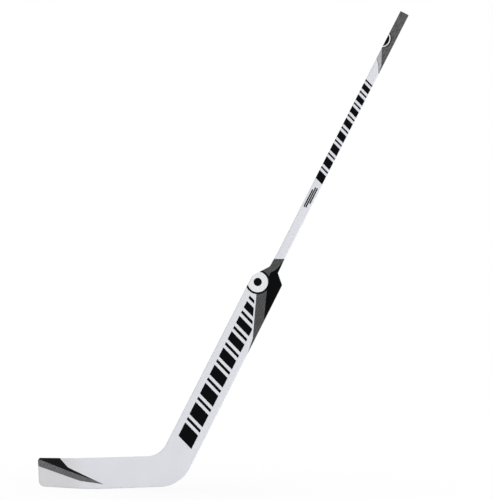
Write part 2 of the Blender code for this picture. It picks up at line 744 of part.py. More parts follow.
def main():
    clear_scene()
    parts = new_collection("goalkeeper_stick")
    axis = bpy.data.objects.new("shaft_axis", None)
    axis.location = (AXIS_FOOT_X, 0.0, 0.0)
    axis.rotation_euler = (0.0, LEAN, 0.0)
    parts.objects.link(axis)

    laminate = material("white_lacquered_laminate", (0.70, 0.70, 0.74), 0.35)
    wood = material("aspen_wood", (0.62, 0.47, 0.30), 0.7)
    foam = material("polyurethane_foam", (0.72, 0.66, 0.45), 0.9)
    plastic = material("black_abs", (0.02, 0.02, 0.02), 0.5)
    black = material("black_film", (0.006, 0.007, 0.009), 0.4)
    grey = material("graphite_film", (0.09, 0.09, 0.09), 0.45)

    make_shaft(laminate, plastic, parts, axis)
    make_spine(wood, parts)
    make_shoulder_blocks(wood, parts)
    make_paddle_sides(wood, foam, parts)
    make_heel_block(wood, parts)
    make_blade_core(wood, foam, plastic, parts)
    make_skins(laminate, parts)
    make_shaft_films(black, grey, parts, axis)
    make_paddle_bars(black, parts)
    make_wrap_films(black, grey, parts)
    make_roundel(black, laminate, parts)


main()
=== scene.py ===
# %% [markdown]
# # A hockey goalkeeper's stick
# A goalkeeper's stick is a flat thing with few parts, so it lives on its outline, on the soft rounding of
# its edges and on the crispness of its printed films. This lesson draws the outline once, makes one surface
# from it, and cuts every painted and printed piece out of that same surface. The real stick is made that
# way too: the print is laid on the finished shape, so it follows each rounding without a step.

import math

import bmesh
import bpy
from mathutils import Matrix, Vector


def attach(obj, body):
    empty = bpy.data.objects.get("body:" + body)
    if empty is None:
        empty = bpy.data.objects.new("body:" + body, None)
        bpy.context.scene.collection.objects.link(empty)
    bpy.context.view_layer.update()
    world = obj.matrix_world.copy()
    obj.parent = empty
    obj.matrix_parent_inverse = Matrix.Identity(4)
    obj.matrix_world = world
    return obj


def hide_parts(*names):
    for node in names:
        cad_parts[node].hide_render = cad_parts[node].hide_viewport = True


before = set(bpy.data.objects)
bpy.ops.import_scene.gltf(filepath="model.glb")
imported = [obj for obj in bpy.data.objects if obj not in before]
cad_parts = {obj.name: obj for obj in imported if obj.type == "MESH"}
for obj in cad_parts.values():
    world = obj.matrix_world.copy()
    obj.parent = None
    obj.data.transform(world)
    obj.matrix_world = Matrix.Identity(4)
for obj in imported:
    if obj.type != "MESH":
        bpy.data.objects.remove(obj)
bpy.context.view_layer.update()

# %% [markdown]
# All sizes are real ones, in metres. The stick's straight shaft gives the best ruler: a place on the paddle
# or the shaft is written as how far it lies across the shaft's axis, positive on the trailing side, and how
# far along it from the ice. Two short functions turn such a place into the scene's x and z and back.

# %% Sizes of the whole stick
LEAN = math.radians(27.0)
AXIS_FOOT_X = 0.1968
STICK_LENGTH = 1.494
THICKNESS = 0.020
EDGE_RADIUS = 0.0035
SHAFT_WIDTH = 0.0255
SHAFT_WALL = 0.002
SKIN_WALL = 0.0012


def place(across, along):
    """The point (x, z) of a place on the paddle or shaft."""
    x = AXIS_FOOT_X + along * math.sin(LEAN) + across * math.cos(LEAN)
    z = along * math.cos(LEAN) - across * math.sin(LEAN)
    return Vector((x, z))


def across_along(x, z):
    """How far across the axis and how far along it a point lies."""
    x -= AXIS_FOOT_X
    return x * math.cos(LEAN) - z * math.sin(LEAN), x * math.sin(LEAN) + z * math.cos(LEAN)


def spot(point, y=0.0):
    """A point (x, z) as a full 3-D point at depth y."""
    return Vector((point.x, y, point.y))


AXIS = spot(place(0.0, 1.0) - place(0.0, 0.0))
print("the butt's middle is at", [round(v, 3) for v in spot(place(0.0, STICK_LENGTH))])

# %% [markdown]
# The photograph looks straight at the front with hardly any perspective, as product pictures do. A long
# lens far away gives that. The camera is aimed at the middle of the picture, and its distance follows from
# how much of the world the picture's long side has to show.

# %% Camera
VIEW_MIDDLE = Vector((0.4312, 0.0, 0.6685))
VIEW_HEIGHT = 1.400
LENS = 200.0
SENSOR = 36.0
SIGHT = 100.0  # how far the camera sees, which is past the far rim of the floor

distance = VIEW_HEIGHT * LENS / SENSOR
bpy.ops.object.camera_add(
    location=VIEW_MIDDLE - Vector((0.0, distance, 0.0)), rotation=(math.pi / 2, 0.0, 0.0)
)
camera = bpy.context.object
camera.data.lens = LENS
camera.data.sensor_width = SENSOR
camera.data.clip_end = SIGHT
bpy.context.scene.camera = camera
print("camera distance", round(distance, 3), "m")

# %% [markdown]
# Every piece is opened in edit mode, worked on and closed again, so those moves get short helpers. An
# operator works on all that is selected, so each helper starts by clearing the selection. A finished piece
# keeps its place in its mesh, with its object at the origin, so that patterns don't slide on it.


# %% Helpers that open and close a piece
def pick_up(piece):
    """Makes one piece the only selected and active object."""
    bpy.ops.object.select_all(action="DESELECT")
    piece.select_set(True)
    bpy.context.view_layer.objects.active = piece


def open_up(piece):
    """Opens a piece in edit mode."""
    pick_up(piece)
    bpy.ops.object.mode_set(mode="EDIT")


def close_up():
    """Goes back to object mode and gives the piece that was edited."""
    bpy.ops.object.mode_set(mode="OBJECT")
    return bpy.context.object


def settle(name):
    """Names the newest object and moves its place, turn and size into its mesh."""
    bpy.ops.object.transform_apply(location=True, rotation=True, scale=True)
    piece = bpy.context.object
    piece.name = name
    piece.data.name = name
    return piece


def apply_modifier(piece, kind, **settings):
    """Adds one modifier, sets it and applies it."""
    pick_up(piece)
    bpy.ops.object.modifier_add(type=kind)
    modifier = piece.modifiers[-1]
    for name, value in settings.items():
        setattr(modifier, name, value)
    bpy.ops.object.modifier_apply(modifier=modifier.name)


# %% [markdown]
# Faces and edges are picked by where they are or which way they point, never by their number, which changes
# with every cut. The tools for the picked ones are few: a straight cut, an extrusion, a deletion and a
# bevel.

# %% Helpers that pick and cut
FACING = 0.9  # a face or an edge points some way if its cosine with that way is above this
ON_THE_CUT = 1e-7  # a point this near to a cutting plane lies on it


def choose(kind, passes):
    """In edit mode, selects just the edges (EDGE) or faces (FACE) that pass a test, and counts them."""
    bpy.ops.mesh.select_mode(type=kind)
    bpy.ops.mesh.select_all(action="DESELECT")
    shape = bmesh.from_edit_mesh(bpy.context.object.data)
    shape.normal_update()
    elements = shape.edges if kind == "EDGE" else shape.faces
    chosen = [element for element in elements if passes(element)]
    for element in chosen:
        element.select_set(True)
    bmesh.update_edit_mesh(bpy.context.object.data)
    return len(chosen)


def score(point, normal, drops=False):
    """In edit mode, cuts every face that a plane crosses, and may drop what the normal points to."""
    bpy.ops.mesh.select_all(action="SELECT")
    bpy.ops.mesh.bisect(plane_co=point, plane_no=normal, clear_outer=drops, threshold=ON_THE_CUT)


def draw_out(way):
    """In edit mode, extrudes what is selected by a 3-D way."""
    bpy.ops.mesh.extrude_region_move(TRANSFORM_OT_translate={"value": way})


def drop_faces(passes):
    """In edit mode, deletes the faces that pass a test."""
    choose("FACE", passes)
    bpy.ops.mesh.delete(type="FACE")


def round_edges(radius, steps):
    """In edit mode, rounds the selected edges."""
    bpy.ops.mesh.bevel(offset=radius, segments=steps, profile=0.5, affect="EDGES", clamp_overlap=False)


# %% [markdown]
# ## The outline
# A stick's outline is straight lines joined by round corners: the flat of the sole, a slight rocker towards
# toe and heel, the long edges of the paddle, two shoulders and the neck. So it is written as corners, each
# with the radius that rounds it. First come the sizes. LEAD stands for the edge that faces the toe's side,
# and TRAIL for the heel's side.

# %% Sizes of the outline
PADDLE_LENGTH = 0.660
LEAD_FOOT = 0.0472
LEAD_TOP = 0.0465
TRAIL_FOOT = 0.0428
TRAIL_TOP = 0.0402
LEAD_SHOULDER_DROP = 0.014
NECK_TOP = 0.735
NECK_PAST = 0.800  # the outline runs on to here, so that the rim is whole at the neck's end
NECK_LEAD_FOOT = 0.6915
NECK_TRAIL_FOOT = 0.685
NECK_FLARE = 0.0016
TOE_REACH = 0.1525
TOE_RAKE = 0.0035
TOE_HEIGHT = 0.0855
SOLE_TOE_END = 0.028
SOLE_HEEL_END = 0.022
SOLE_TOE_RISE = math.tan(math.radians(2.8))
SOLE_HEEL_RISE = math.tan(math.radians(1.9))
TOP_END = 0.045
TOP_RISE = math.tan(math.radians(1.6))
HEEL_RADIUS = 0.095
TRAIL_SHOULDER_RADIUS = 0.005
NECK_RADIUS = 0.008
LEAD_SHOULDER_RADIUS = 0.006
ELBOW_RADIUS = 0.061
TOE_TOP_RADIUS = 0.008
TOE_SOLE_RADIUS = 0.017

print("the paddle's edges are", round(1000 * (LEAD_FOOT + TRAIL_FOOT), 1), "mm apart at their foot")

# %% [markdown]
# The corners go round the outline anticlockwise as seen from the front, from the sole's toe end. Where two
# edges are known but their corner isn't, the corner is where their lines meet.


# %% Corners of the outline
def meet(first, second, third, fourth):
    """Where the line through two points meets the line through two others."""
    run, other = second - first, fourth - third
    return first + run * ((third - first).cross(other) / run.cross(other))


sole_toe = Vector((-SOLE_TOE_END, 0.0))
sole_heel = Vector((SOLE_HEEL_END, 0.0))
toe_top = Vector((-TOE_REACH, TOE_HEIGHT))
toe_foot = Vector((TOE_RAKE - TOE_REACH, 0.0))
top_end = Vector((-TOP_END, TOE_HEIGHT))
lead_shoulder = place(-LEAD_TOP, PADDLE_LENGTH - LEAD_SHOULDER_DROP)
trail_shoulder = place(TRAIL_TOP, PADDLE_LENGTH)
half_width = SHAFT_WIDTH / 2
heel_rise = sole_heel + Vector((1.0, SOLE_HEEL_RISE))
heel = meet(sole_heel, heel_rise, place(TRAIL_FOOT, 0.0), trail_shoulder)
top_rise = top_end + Vector((1.0, TOP_RISE))
elbow = meet(top_end, top_rise, place(-LEAD_FOOT, 0.0), lead_shoulder)
toe_rise = sole_toe + Vector((-1.0, SOLE_TOE_RISE))
toe_sole = meet(toe_top, toe_foot, sole_toe, toe_rise)
corners = [
    (sole_toe, 0.0),
    (sole_heel, 0.0),
    (heel, HEEL_RADIUS),
    (trail_shoulder, TRAIL_SHOULDER_RADIUS),
    (place(half_width + NECK_FLARE, NECK_TRAIL_FOOT), 0.0),
    (place(half_width, NECK_TOP), 0.0),
    (place(half_width, NECK_PAST), 0.0),
    (place(-half_width, NECK_PAST), 0.0),
    (place(-half_width, NECK_TOP), 0.0),
    (place(-half_width - NECK_FLARE, NECK_LEAD_FOOT), NECK_RADIUS),
    (lead_shoulder, LEAD_SHOULDER_RADIUS),
    (elbow, ELBOW_RADIUS),
    (top_end, 0.0),
    (toe_top, TOE_TOP_RADIUS),
    (toe_sole, TOE_SOLE_RADIUS),
]
print(len(corners), "corners, the heel's is at", [round(v, 4) for v in corners[2][0]])

# %% [markdown]
# The outline could be a curve with handles, but then each radius is a matter of feel. Here it is drawn as
# one would with a pencil and a compass: a single vertex is extruded along each straight run, and spun about
# a centre for each round corner. A spin's step of 3 degrees keeps even the big heel corner smooth.

# %% Trace the outline
SPIN_STEP = math.radians(3.0)
SAME_POINT = 1e-5  # points this near to each other, a hundredth of a millimetre, are one


def trace(name, corners):
    """Draws a closed outline in the XZ plane and fills it."""
    bpy.ops.object.select_all(action="DESELECT")
    bpy.ops.mesh.primitive_plane_add(size=EDGE_RADIUS, location=spot(corners[0][0]))
    piece = settle(name)
    open_up(piece)
    bpy.ops.mesh.select_all(action="SELECT")
    bpy.ops.mesh.merge(type="CENTER")
    pen = corners[0][0]
    for i in range(1, len(corners)):
        before, (here, radius), after = corners[i - 1][0], corners[i], corners[(i + 1) % len(corners)][0]
        arriving, leaving = (here - before).normalized(), (after - here).normalized()
        turn = math.atan2(arriving.cross(leaving), arriving.dot(leaving))
        start = here - arriving * radius * math.tan(abs(turn) / 2)
        draw_out(spot(start - pen))
        pen = start
        if radius > 0.0:
            sideways = Vector((-arriving.y, arriving.x)) * math.copysign(radius, turn)
            steps = math.ceil(abs(turn) / SPIN_STEP)
            bpy.ops.mesh.spin(steps=steps, angle=turn, center=spot(start + sideways), axis=(0, 1, 0))
            pen = here + leaving * radius * math.tan(abs(turn) / 2)
    draw_out(spot(corners[0][0] - pen))
    bpy.ops.mesh.select_all(action="SELECT")
    bpy.ops.mesh.remove_doubles(threshold=SAME_POINT)
    bpy.ops.mesh.select_all(action="SELECT")
    bpy.ops.mesh.edge_face_add()
    return close_up()


blank = trace("pressed_surface", corners)
print("outline of", len(blank.data.vertices), "points,", len(blank.data.polygons), "face")

# %% [markdown]
# ## The pressed surface
# A paddle starts as flat stock of the shaft's thickness. The filled outline is extruded to that thickness,
# and its rim is rounded by a bevel. The bevel has six steps, enough for the long thin highlight along the
# edge, which is the main thing that tells the eye that this is a solid and not a card.

# %% Give the outline its thickness and its rounded rim
RIM_STEPS = 6


def is_rim(edge):
    """Whether an edge lies between the front or back and the side wall."""
    flat = [abs(face.normal.y) > FACING for face in edge.link_faces]
    return sorted(flat) == [False, True]


open_up(blank)
bpy.ops.mesh.select_all(action="SELECT")
bpy.ops.transform.translate(value=(0.0, -THICKNESS / 2, 0.0))
draw_out((0.0, THICKNESS, 0.0))
bpy.ops.mesh.select_all(action="SELECT")
bpy.ops.mesh.normals_make_consistent(inside=False)
rim = choose("EDGE", is_rim)
round_edges(EDGE_RADIUS, RIM_STEPS)
score(spot(place(0.0, NECK_TOP)), AXIS, drops=True)
close_up()
print(rim, "rim edges rounded,", len(blank.data.polygons), "faces")

# %% [markdown]
# The real blade isn't flat. It thins towards the toe, the paddle thins towards the heel, and the blade bows
# back. A lattice could bend it by feel, but here the sizes are known, so each point is moved by a formula,
# in y alone. The surface needs cuts to bend at, so it is scored every 7 mm along the blade, and more widely
# along the paddle's taper. Only the middle of the side wall is squeezed, so the rounded rim keeps its
# radius.

# %% Press the surface to its taper and bow
HEEL_THICKNESS = 0.016
TOE_THICKNESS = 0.010
BLADE_START_X = 0.154
BOW_START_X = 0.025
BOW_DEPTH = 0.014
SEAM_ALONG = 0.118
TAPER_LENGTH = 0.180
BLADE_CUTS = 44
TAPER_CUTS = 12


def eased(share):
    """A share from 0 to 1 that starts and ends gently, so that no crease shows where a taper begins."""
    share = min(max(share, 0.0), 1.0)
    return share * share * (3.0 - 2.0 * share)


def half_thickness(x, z):
    """Half the thickness of the paddle or the blade at a place."""
    along = across_along(x, z)[1]
    if along > SEAM_ALONG:
        share = eased((along - SEAM_ALONG) / TAPER_LENGTH)
        return (HEEL_THICKNESS + share * (THICKNESS - HEEL_THICKNESS)) / 2
    share = eased((BLADE_START_X - x) / (BLADE_START_X + TOE_REACH))
    return (HEEL_THICKNESS - share * (HEEL_THICKNESS - TOE_THICKNESS)) / 2


def bow(x):
    """How far back the blade's middle lies."""
    return BOW_DEPTH * (max(BOW_START_X - x, 0.0) / (BOW_START_X + TOE_REACH)) ** 2


open_up(blank)
for i in range(BLADE_CUTS):
    x = BLADE_START_X - i * (BLADE_START_X + TOE_REACH) / BLADE_CUTS
    score((x, 0.0, 0.0), (1.0, 0.0, 0.0))
for i in range(TAPER_CUTS + 1):
    score(spot(place(0.0, SEAM_ALONG + i * TAPER_LENGTH / TAPER_CUTS)), AXIS)
close_up()

wall = THICKNESS / 2 - EDGE_RADIUS
for vertex in blank.data.vertices:
    x, y, z = vertex.co
    half = half_thickness(x, z)
    if abs(y) <= wall + SAME_POINT:
        size = abs(y) * (half - EDGE_RADIUS) / wall
    else:
        size = abs(y) + half - THICKNESS / 2
    vertex.co.y = math.copysign(size, y) + bow(x)
toe_bow = round(1000 * bow(-TOE_REACH), 1)
print("pressed surface:", len(blank.data.polygons), "faces, toe bowed back", toe_bow, "mm")

# %% [markdown]
# The shaft is a rectangular tube. It could be drawn out of the neck's end, but a bar of its own keeps one
# section from end to end. The bar starts as a cube stretched to the shaft's size and turned to its lean,
# and its four long edges are rounded to the same radius as the paddle's, so that the neck runs into it
# without a step. Without its two ends it is the surface that tube and films are cut from.

# %% The shaft's surface
PLUG_HEAD = 0.003
SHAFT_TOP = STICK_LENGTH - PLUG_HEAD


def along_axis(edge):
    """Whether an edge runs the length of the shaft."""
    return abs((edge.verts[1].co - edge.verts[0].co).normalized().dot(AXIS)) > FACING


def shaft_stock(name, low, high):
    """A bar of the shaft's section between two places along it, with its long edges rounded."""
    bpy.ops.object.select_all(action="DESELECT")
    bpy.ops.mesh.primitive_cube_add(
        size=1.0,
        location=spot(place(0.0, (low + high) / 2)),
        rotation=(0.0, LEAN, 0.0),
        scale=(SHAFT_WIDTH, THICKNESS, high - low),
    )
    piece = settle(name)
    open_up(piece)
    choose("EDGE", along_axis)
    round_edges(EDGE_RADIUS, RIM_STEPS)
    return close_up()


sleeve = shaft_stock("shaft_surface", NECK_TOP, SHAFT_TOP)
open_up(sleeve)
drop_faces(lambda face: abs(face.normal.dot(AXIS)) > FACING)
close_up()
print("shaft surface:", len(sleeve.data.polygons), "faces")

# %% [markdown]
# ## Materials
# A colour is written as the sRGB hex value that a picture editor shows, and one function turns it into the
# linear numbers that a shader works with. One more function adds a node with its options and links. Every
# pattern reads Object coordinates, so a scale of 1 is one metre and a pattern's size can be worked out in
# millimetres: a noise whose blotches are 2 mm wide has a scale of 1 / 0.002. A Mix node mixes plain numbers
# at its inputs 2 and 3, and colours at 6 and 7, which come out at output 2.


# %% Helpers for materials
def linear(code):
    """An sRGB hex colour as linear red, green, blue and alpha."""
    shares = [int(code[i : i + 2], 16) / 255 for i in (1, 3, 5)]
    return (*[c / 12.92 if c <= 0.04045 else ((c + 0.055) / 1.055) ** 2.4 for c in shares], 1.0)


def feed(tree, node, inputs):
    """Gives a node's sockets, by name or number, each its value or the socket that feeds it."""
    for key, value in inputs.items():
        if isinstance(value, bpy.types.NodeSocket):
            tree.links.new(value, node.inputs[key])
        else:
            node.inputs[key].default_value = value


def add(tree, kind, inputs, **settings):
    """Adds a node with its options, and feeds it."""
    made = tree.nodes.new("ShaderNode" + kind)
    for name, value in settings.items():
        setattr(made, name, value)
    feed(tree, made, inputs)
    return made


def new_material(name, **values):
    """A material with its shader's plain values set: itself, its nodes, shader and Object coordinates."""
    made = bpy.data.materials.new(name)
    made.use_nodes = True
    shader = made.node_tree.nodes["Principled BSDF"]
    feed(made.node_tree, shader, {key.replace("_", " "): value for key, value in values.items()})
    where = add(made.node_tree, "TexCoord", {}).outputs["Object"]
    return made, made.node_tree, shader, where


def pattern_finish(tree, shader, pattern, dark, light, height, relief, depth, satin=None):
    """Ties a surface's tone to a pattern, its relief to a height, and its roughness to the pattern too."""
    tone = add(tree, "Mix", {0: pattern, 6: linear(dark), 7: linear(light)}, data_type="RGBA")
    bump = add(tree, "Bump", {"Height": height, "Strength": relief, "Distance": depth})
    feed(tree, shader, {"Base Color": tone.outputs[2], "Normal": bump.outputs[0]})
    if satin:
        rough = add(tree, "MapRange", {"Value": pattern, "To Min": satin[0], "To Max": satin[1]})
        feed(tree, shader, {"Roughness": rough.outputs[0]})


print("a grey of #808080 has", round(linear("#808080")[0], 3), "of white's light")

# %% [markdown]
# ### Woven cloth
# The laminate and the grey films are twill: flat tows of fibre cross at right angles, and each passes over
# two and under two, one step on from its neighbour, which draws diagonal lines. A picture of cloth would
# have to be fitted to each piece, so the weave is worked out from the place itself. Whole numbers count the
# tows both ways, their difference says which tow is on top, a wave rounds it and a noise gives it its own
# tone.

# %% Twill
WAVE_PERIOD = math.pi / 10  # the width of one wave at scale 1
TOW = 0.0025  # real tows are 2 mm wide, which the picture is too coarse to show
FLOAT = 2  # how many tows a tow passes over before it dives under the next ones
ROUNDNESS = 0.5  # a tow's roundness in the relief, beside the step between tows


def twill(tree, where):
    """Cloth of tows at 45 degrees to the shaft, wrapped round it: its relief, and each tow's own tone."""
    upright = {"Rotation": (0.0, -LEAN, 0.0), "Scale": [1 / (TOW * math.sqrt(2.0))] * 3}
    turned = add(tree, "Mapping", {"Vector": where, **upright}).outputs[0]
    parts = add(tree, "SeparateXYZ", {0: turned}).outputs
    around = add(tree, "Math", {0: parts["X"], 1: parts["Y"]}, operation="ADD").outputs[0]
    counts, rounds, tones = [], [], []
    for operation in ("ADD", "SUBTRACT"):
        way = add(tree, "Math", {0: parts["Z"], 1: around}, operation=operation).outputs[0]
        counts.append(add(tree, "Math", {0: way}, operation="FLOOR").outputs[0])
        rounds.append(add(tree, "TexWave", {"Vector": way, "Scale": WAVE_PERIOD}).outputs["Fac"])
        tones.append(add(tree, "TexWhiteNoise", {"W": counts[-1]}, noise_dimensions="1D").outputs["Value"])
    diagonal = add(tree, "Math", {0: counts[0], 1: counts[1]}, operation="SUBTRACT").outputs[0]
    turn = add(tree, "Math", {0: diagonal, 1: 2.0 * FLOAT}, operation="FLOORED_MODULO").outputs[0]
    on_top = add(tree, "Math", {0: turn, 1: FLOAT - 0.5}, operation="LESS_THAN").outputs[0]
    height = add(tree, "Mix", {0: on_top, 2: rounds[1], 3: rounds[0]}).outputs[0]
    relief = add(tree, "Mix", {0: ROUNDNESS, 2: on_top, 3: height}).outputs[0]
    return relief, add(tree, "Mix", {0: on_top, 2: tones[1], 3: tones[0]}).outputs[0]


print("the weave repeats every", 2 * FLOAT, "tows")

# %% [markdown]
# ### White lacquer
# The body is fibre laminate, sprayed white and clear-coated. Such paint has orange peel, a dimpling about 2
# mm across, and the weave of the cloth just shows through. The white is a cool one, with a touch of lilac.
# Its tone wanders by a hair over the length of a hand, and it turns to a plain, darker grey towards the
# toe,
# as the photograph shows: partly the paint's own grey and partly painted shade where the bowed toe turns
# away from the light. One flat white would look like card, so noises give the wandering and the peel, and a
# ramp along x the grey and painted shade.

# %% White lacquer
PEEL = 0.0022
CLOUD = 0.09
WEAVE_SHARE = 0.25  # how strongly the weave shows beside the peel
# the toe's plain grey, partly painted shade, ramps in between these two places along x
TOE_GREY_AND_SHADE_FROM = -0.020
TOE_GREY_AND_SHADE_TO = -0.070

white_lacquer, tree, shader, where = new_material(
    "sprayed_white_lacquer", IOR=1.5, Coat_Weight=0.35, Coat_Roughness=0.12
)
clouds = add(tree, "TexNoise", {"Vector": where, "Scale": 1 / CLOUD, "Detail": 3.0}).outputs["Fac"]
whites = {0: clouds, 6: linear("#d8d9df"), 7: linear("#dfe0e6")}
tone = add(tree, "Mix", whites, data_type="RGBA").outputs[2]
lengthwise = add(tree, "SeparateXYZ", {0: where}).outputs["X"]
# painted shade: a ramp along x darkens the toe to a plain grey, partly for the shade of the bowed toe
ramp = {"From Min": TOE_GREY_AND_SHADE_TO, "From Max": TOE_GREY_AND_SHADE_FROM, "To Min": 1.0, "To Max": 0.0}
toe_grey_and_shade_share = add(tree, "MapRange", {"Value": lengthwise, **ramp}).outputs[0]
toe_grey_and_painted_shade = add(tree, "Mix", {0: toe_grey_and_shade_share, 6: tone, 7: linear("#d3d2d5")}, data_type="RGBA").outputs[2]
peel = add(tree, "TexNoise", {"Vector": where, "Scale": 1 / PEEL, "Detail": 1.0}).outputs["Fac"]
weave = twill(tree, where)[0]
relief = add(tree, "Math", {0: weave, 1: WEAVE_SHARE, 2: peel}, operation="MULTIPLY_ADD").outputs[0]
bump = add(tree, "Bump", {"Height": relief, "Strength": 0.025, "Distance": 0.0004}).outputs[0]
satin = add(tree, "MapRange", {"Value": peel, "To Min": 0.32, "To Max": 0.44}).outputs[0]
feed(tree, shader, {"Base Color": toe_grey_and_painted_shade, "Roughness": satin, "Normal": bump})
print(white_lacquer.name, "with", len(tree.nodes), "nodes")

# %% [markdown]
# ### Printed films
# The black and grey areas are thin printed films under a satin clear coat. The black ink is very deep and
# reflects little. The grey ones print the look of woven fibre: a twill whose tows each catch the light a
# little differently, which the photograph shows at the butt as a faint streaky grain. Light grey and white
# are the same film with other inks, so one function makes them all.

# %% Printed films
BLOTCH = 0.012
BLOTCH_SHARE = 0.2  # of the unevenness, beside the tows' own tones
UNEVEN_SHARE = 0.5  # of the pattern, beside the weave
INK_NAME = "_printed_film"


def printed_film(name, dark, light, shine, relief):
    """A printed film whose ink varies between two tones along a woven pattern."""
    made, tree, shader, where = new_material(name + INK_NAME, IOR=1.5, Specular_IOR_Level=shine)
    weave, tow_tone = twill(tree, where)
    blotch = add(tree, "TexNoise", {"Vector": where, "Scale": 1 / BLOTCH, "Detail": 2.0}).outputs["Fac"]
    uneven = add(tree, "Mix", {0: BLOTCH_SHARE, 2: tow_tone, 3: blotch}).outputs[0]
    pattern = add(tree, "Mix", {0: UNEVEN_SHARE, 2: weave, 3: uneven}).outputs[0]
    pattern_finish(tree, shader, pattern, dark, light, pattern, relief, depth=0.0003, satin=(0.34, 0.5))
    return made


black_ink = printed_film("black", "#07080a", "#0d0e10", 0.02, 0.05)
# painted reflection: the toe's black is a lighter copy of the black ink, standing in for light that the toe
# reflects; the pinstripes use the same ink as their own dark tone
lighter_black_and_painted_reflection_ink = printed_film("toe_black", "#0d0e0f", "#1e1f21", 0.04, 0.05)
neck_ink = printed_film("dark_graphite", "#2a2a2b", "#5b5b5c", 0.20, 0.08)
graphite_ink = printed_film("graphite", "#161617", "#737374", 0.20, 0.08)
toe_grey_ink = printed_film("pale_graphite", "#474748", "#767678", 0.25, 0.08)
silver_ink = printed_film("silver", "#999a9e", "#bfc0c4", 0.3, 0.08)
line_ink = printed_film("mid_grey", "#77777a", "#919195", 0.3, 0.08)
white_ink = printed_film("white", "#e1e2e5", "#e7e8ea", 0.35, 0.05)
print("inks:", [made.name for made in bpy.data.materials if made.name.endswith(INK_NAME)])

# %% [markdown]
# ### Aspen wood
# The core is hidden in a whole stick, but a part that can be taken apart should look right inside too.
# Aspen is pale and close-grained. Its fibres run along the bar, so the noise is turned to the bar and
# stretched along it, and soft waves across it stand for the year rings.

# %% Aspen wood
GRAIN_LENGTH = 0.16
GRAIN_WIDTH = 0.0016
RING_SPACING = 0.006
RING_SHARE = 0.35  # how strongly the year rings show beside the fibres


def aspen_wood(name, lean):
    """Planed aspen whose grain runs along a bar that leans by an angle from upright."""
    made, tree, shader, where = new_material(name, IOR=1.5, Roughness=0.6)
    turned = add(tree, "Mapping", {"Vector": where, "Rotation": (0.0, -lean, 0.0)}).outputs[0]
    fineness = (1 / GRAIN_WIDTH, 1 / GRAIN_WIDTH, 1 / GRAIN_LENGTH)
    stretched = add(tree, "Mapping", {"Vector": turned, "Scale": fineness}).outputs[0]
    fibre = add(tree, "TexNoise", {"Vector": stretched, "Scale": 1.0, "Detail": 5.0}).outputs["Fac"]
    wave = {"Vector": turned, "Scale": WAVE_PERIOD / RING_SPACING, "Distortion": 2.5, "Detail Scale": 6.0}
    rings = add(tree, "TexWave", wave, bands_direction="X").outputs["Fac"]
    figure = add(tree, "Math", {0: rings, 1: RING_SHARE, 2: fibre}, operation="MULTIPLY_ADD").outputs[0]
    pattern_finish(tree, shader, figure, "#b5966a", "#dcc69c", fibre, relief=0.2, depth=0.0002)
    return made


paddle_wood = aspen_wood("aspen_along_paddle", LEAN)
blade_wood = aspen_wood("aspen_along_blade", math.pi / 2)
print("wood:", paddle_wood.name, "and", blade_wood.name)

# %% [markdown]
# ### Cut foam and moulded plastic
# The foam panels are cut polyurethane, all broken cells about 1 mm across. Blender's cell texture draws
# just such cells, so it gives both the tone and the pits. Cap, rails and toe insert are moulded ABS with
# the fine matt texture of an eroded mould, which is a noise so fine that it reads as an even dullness.

# %% Cut foam and moulded plastic
FOAM_CELL = 0.0012
MOULD_GRIT = 0.0004

core_foam, tree, shader, where = new_material("cut_polyurethane_foam", IOR=1.4, Roughness=0.95)
cells = add(tree, "TexVoronoi", {"Vector": where, "Scale": 1 / FOAM_CELL}).outputs["Distance"]
pattern_finish(tree, shader, cells, "#c9b57c", "#e6d8a8", cells, relief=0.6, depth=0.0004)


def moulded_abs(name, dark, light):
    """Moulded ABS with the fine grit of an eroded mould."""
    made, tree, shader, where = new_material(name, IOR=1.53, Specular_IOR_Level=0.3)
    grit = add(tree, "TexNoise", {"Vector": where, "Scale": 1 / MOULD_GRIT, "Detail": 2.0}).outputs["Fac"]
    pattern_finish(tree, shader, grit, dark, light, grit, relief=0.15, depth=0.0001, satin=(0.45, 0.65))
    return made


black_abs = moulded_abs("moulded_black_abs", "#1b1b1c", "#262627")
grey_abs = moulded_abs("moulded_grey_abs", "#4b4b4c", "#565657")
print("core and cap:", core_foam.name, black_abs.name, grey_abs.name)

# %% [markdown]
# ## Cutting pieces out of the surface
# A film is part of the stick's own surface, so it is cut out of a copy of that surface. A Boolean could do
# it, but straight scores leave cleaner faces. So a film's shape is given as flat polygons seen from the
# front, and first come the two questions asked of them: is a point inside, and which lines bound them?

# %% Polygons
LINE_DIGITS = 6  # lines that agree to this many digits are scored only once


def inside(point, polygon):
    """Whether a flat polygon holds a point."""
    holds = False
    for i in range(len(polygon)):
        start, end = polygon[i - 1], polygon[i]
        if (start.y > point.y) != (end.y > point.y):
            x = start.x + (point.y - start.y) / (end.y - start.y) * (end.x - start.x)
            if point.x < x:
                holds = not holds
    return holds


def polygon_lines(polygons):
    """The different lines that the polygons' sides lie on, each as (point, normal)."""
    lines = {}
    for polygon in polygons:
        for i in range(len(polygon)):
            start, end = polygon[i - 1], polygon[i]
            run = (end - start).normalized()
            normal = Vector((-run.y, run.x))
            if normal.x < 0.0 or (normal.x == 0.0 and normal.y < 0.0):
                normal = -normal
            key = (*(round(v, LINE_DIGITS) for v in normal), round(normal.dot(start), LINE_DIGITS))
            lines[key] = (start, normal)
    return lines.values()


# %% [markdown]
# The copy is scored along every side of every polygon, and faces whose middle lies in none of them are
# deleted. What is left gets a little thickness to both sides, so a film stands a tenth of a millimetre
# proud of the paint.

# %% Cut a piece from a surface
FILM = 0.0002


def copy_of(surface, name):
    """A copy of a surface, with its own mesh."""
    pick_up(surface)
    bpy.ops.object.duplicate()
    piece = bpy.context.object
    piece.name = name
    piece.data.name = name
    return piece


def drop_slivers():
    """In edit mode, merges points that a cut left all but together, and drops faces that have no width."""
    bpy.ops.mesh.select_all(action="SELECT")
    bpy.ops.mesh.remove_doubles(threshold=SAME_POINT)
    bpy.ops.mesh.dissolve_degenerate(threshold=SAME_POINT)


def middle_of(face):
    """A face's middle as (x, z), seen from the front."""
    middle = face.calc_center_median()
    return Vector((middle.x, middle.z))


